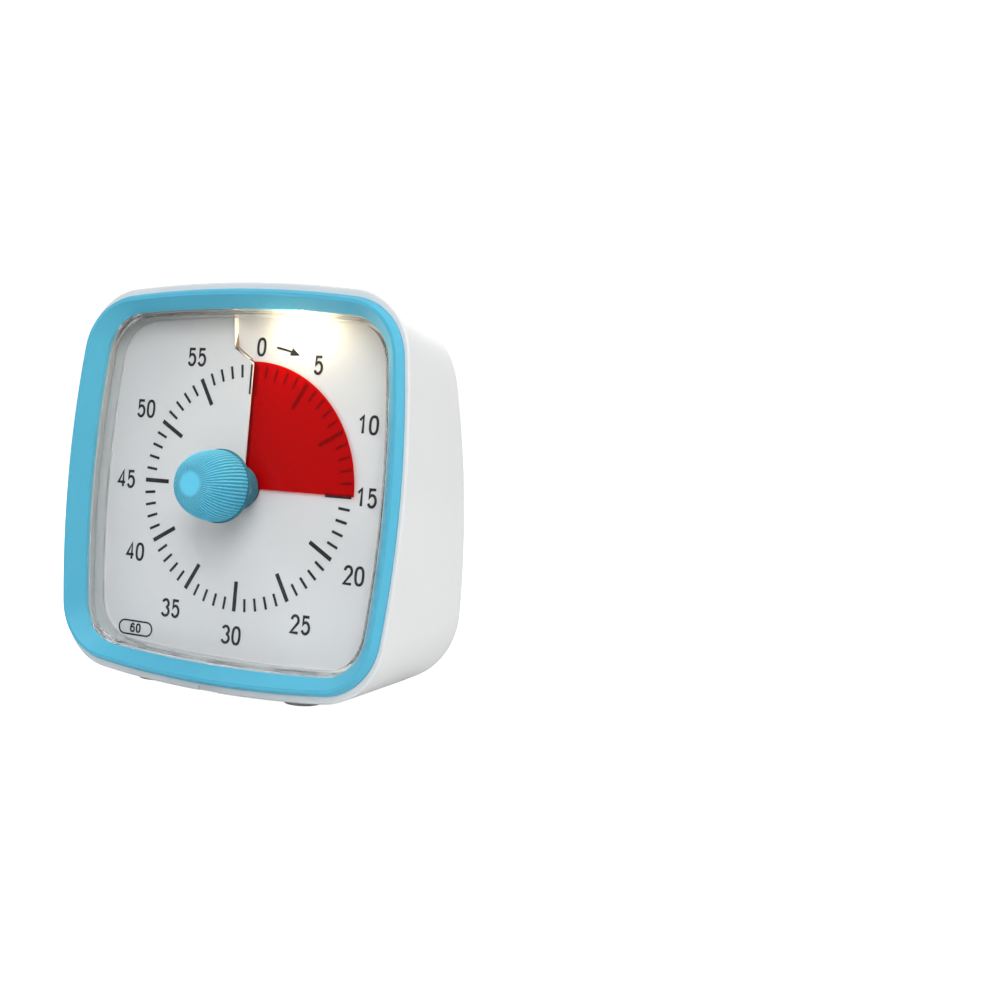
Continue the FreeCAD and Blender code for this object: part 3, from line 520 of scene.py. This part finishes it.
def makeTicks(ink):
    # The tick at zero is two thin strokes, one on each side of the slit
    points, faces = [], []
    for index in range(tickMarks["count"]):
        isLong = index % tickMarks["longEvery"] == 0
        length = tickMarks["longLength"] if isLong else tickMarks["shortLength"]
        width = tickMarks["longWidth"] if isLong else tickMarks["shortWidth"]
        angle = 2 * math.pi * index / tickMarks["count"]
        ray = Vector((math.sin(angle), math.cos(angle)))
        outer = ray * tickMarks["outer"]
        inner = ray * (tickMarks["outer"] - length)
        if index:
            inkStrip(points, faces, [inner, outer], width)
        else:
            shift = Vector((width / 4 + tickMarks["zeroGap"], 0))
            inkStrip(points, faces, [inner + shift, outer + shift], width / 2)
            inkStrip(points, faces, [inner - shift, outer - shift], width / 2)
    printed("dialTicks", points, faces, ink)


def arcPath(x, y, radiusX, radiusY, start, end, steps=14):
    path = []
    for index in range(steps + 1):
        angle = math.radians(start + (end - start) * index / steps)
        path.append((x + radiusX * math.cos(angle), y + radiusY * math.sin(angle)))
    return path


def figureStrokes(figure):
    # Strokes of one narrow figure in a unit box, with whether each closes on itself
    if figure == "0":
        return [(roundLoop(0.5, 0.5, 0.5, 0.5), True)]
    if figure == "1":
        return [([(0.12, 0.76), (0.58, 1.0), (0.58, 0.0)], False)]
    if figure == "2":
        return [(arcPath(0.5, 0.72, 0.47, 0.28, 172, -28) + [(0.0, 0.0), (1.0, 0.0)], False)]
    if figure == "3":
        return [(arcPath(0.46, 0.76, 0.44, 0.24, 160, -80), False),
                (arcPath(0.46, 0.27, 0.52, 0.27, 80, -160), False)]
    if figure == "4":
        return [([(0.74, 0.0), (0.74, 1.0), (0.0, 0.28), (1.05, 0.28)], False)]
    if figure == "5":
        bowl = arcPath(0.47, 0.34, 0.5, 0.34, 130, -155)
        return [([(0.92, 1.0), (0.16, 1.0), (0.08, 0.52)] + bowl, False)]
    return [(roundLoop(0.5, 0.31, 0.5, 0.31), True), (arcPath(0.56, 0.46, 0.56, 0.54, 190, 45), False)]


def roundLoop(x, y, radiusX, radiusY, steps=28, power=0.8):
    loop = []
    for index in range(steps):
        angle = 2 * math.pi * index / steps
        c, s = math.cos(angle), math.sin(angle)
        across = radiusX * math.copysign(abs(c) ** power, c)
        upward = radiusY * math.copysign(abs(s) ** power, s)
        loop.append((x + across, y + upward))
    return loop


dialFigures = {"height": 4.1, "width": 2.05, "stroke": 0.68, "gap": 1.05,
               "places": {0: (1.0, 35.2), 5: (18.1, 31.1), 10: (33.4, 17.3), 15: (34.7, 0.1),
                          20: (33.1, -18.4), 25: (19.6, -31.6), 30: (-0.2, -36.5), 35: (-19.3, -32.0),
                          40: (-32.2, -18.7), 45: (-37.0, -0.2), 50: (-32.4, 18.3), 55: (-17.4, 32.0)}}


def writeNumber(points, faces, text, middle, height, width, stroke, gap):
    total = len(text) * width + (len(text) - 1) * gap
    left = middle[0] - total / 2
    for figure in text:
        for path, closed in figureStrokes(figure):
            placed = [(left + x * width, middle[1] + (y - 0.5) * height) for x, y in path]
            inkStrip(points, faces, placed, stroke, closed)
        left += width + gap


def makeFigures(ink):
    points, faces = [], []
    for number, middle in dialFigures["places"].items():
        writeNumber(points, faces, str(number), middle, dialFigures["height"], dialFigures["width"],
                    dialFigures["stroke"], dialFigures["gap"])
    printed("dialNumbers", points, faces, ink)


dialArrow = {"from": 9.0, "to": 20.5, "radius": 35.6, "width": 0.5, "neckLength": 2.4, "headLength": 2.7,
             "headWidth": 2.0, "steps": 6}


def makeArrow(ink):
    # A short clockwise arrow between the first two numbers
    points, faces, path = [], [], []
    for index in range(dialArrow["steps"] + 1):
        share = index / dialArrow["steps"]
        angle = math.radians(dialArrow["from"] + (dialArrow["to"] - dialArrow["from"]) * share)
        path.append((dialArrow["radius"] * math.sin(angle), dialArrow["radius"] * math.cos(angle)))
    tip = Vector(path[-1])
    run = (tip - Vector(path[-2])).normalized()
    side = Vector((-run.y, run.x)) * dialArrow["headWidth"] / 2
    neck = tip - run * dialArrow["neckLength"]
    inkStrip(points, faces, path[:-2] + [tuple(neck)], dialArrow["width"])
    foot = tip - run * dialArrow["headLength"]
    corners = [tip, foot + side, foot - side]
    start = len(points)
    for corner in corners:
        for lift in (0.0, dialSurface["ink"]):
            points.append(facePoint(corner.x, corner.y, dialHeight(corner.x, corner.y) + lift))
    faces += [(start + 1, start + 3, start + 5), (start, start + 4, start + 2)]
    for a, b in ((0, 2), (2, 4), (4, 0)):
        faces.append((start + a, start + b, start + b + 1, start + a + 1))
    printed("dialArrow", points, faces, ink)


dialBadge = {"middle": (-30.0, -38.3), "half": 5.3, "radius": 1.75, "stroke": 0.42, "textHeight": 2.0,
             "textWidth": 1.1, "textStroke": 0.48, "textGap": 0.75, "endSteps": 10}


def makeBadge(ink):
    # A small capsule with the dial's full scale in it
    points, faces = [], []
    x, y = dialBadge["middle"]
    reach = dialBadge["half"] - dialBadge["radius"]
    radius = dialBadge["radius"]
    loop = arcPath(x + reach, y, radius, radius, -90, 90, dialBadge["endSteps"])
    loop += arcPath(x - reach, y, radius, radius, 90, 270, dialBadge["endSteps"])
    inkStrip(points, faces, loop, dialBadge["stroke"], True)
    writeNumber(points, faces, "60", (x, y), dialBadge["textHeight"], dialBadge["textWidth"],
                dialBadge["textStroke"], dialBadge["textGap"])
    printed("dialBadge", points, faces, ink)


lampGlow = {"place": (13.5, 42.2, 2.4), "watts": 0.015, "radius": 0.0012, "colour": (1.0, 0.78, 0.5)}


def makeLampGlow():
    data = bpy.data.lights.new("lampGlow", "POINT")
    data.energy = lampGlow["watts"]
    data.color = lampGlow["colour"]
    data.shadow_soft_size = lampGlow["radius"]
    light = bpy.data.objects.new("lampGlow", data)
    light.location = facePoint(*lampGlow["place"])
    bpy.context.scene.collection.objects.link(light)


# The colour of this line is painted shadow, not print
slitPaintedShadow = {"path": [(-0.25, 31.9), (-5.9, 35.0), (-7.15, 42.4)], "width": 0.2, "ink": (0.16, 0.12, 0.1)}


def makeSlitEdge():
    # Painted shadow: a fine dark line where the dial's two levels meet outside the film, standing in for
    # the shade in the gap between them
    points, faces = [], []
    inkStrip(points, faces, slitPaintedShadow["path"], slitPaintedShadow["width"])
    printed("dialSlitPaintedShadow", points, faces, inkMaterial("slitShadowPaint", slitPaintedShadow["ink"]))


dressFrame()
print("stage 2: the CAD pieces have their finishes")
dialInk = inkMaterial("dialInk", tickMarks["ink"])
makeTicks(dialInk)
makeFigures(dialInk)
makeArrow(dialInk)
makeBadge(dialInk)
makeSlitEdge()
print("stage 3: the dial is printed")
makeFloor()
makeLights()
makeSky()
makeLampGlow()
makeCamera()
print("stage 4: floor, lights and camera are set")
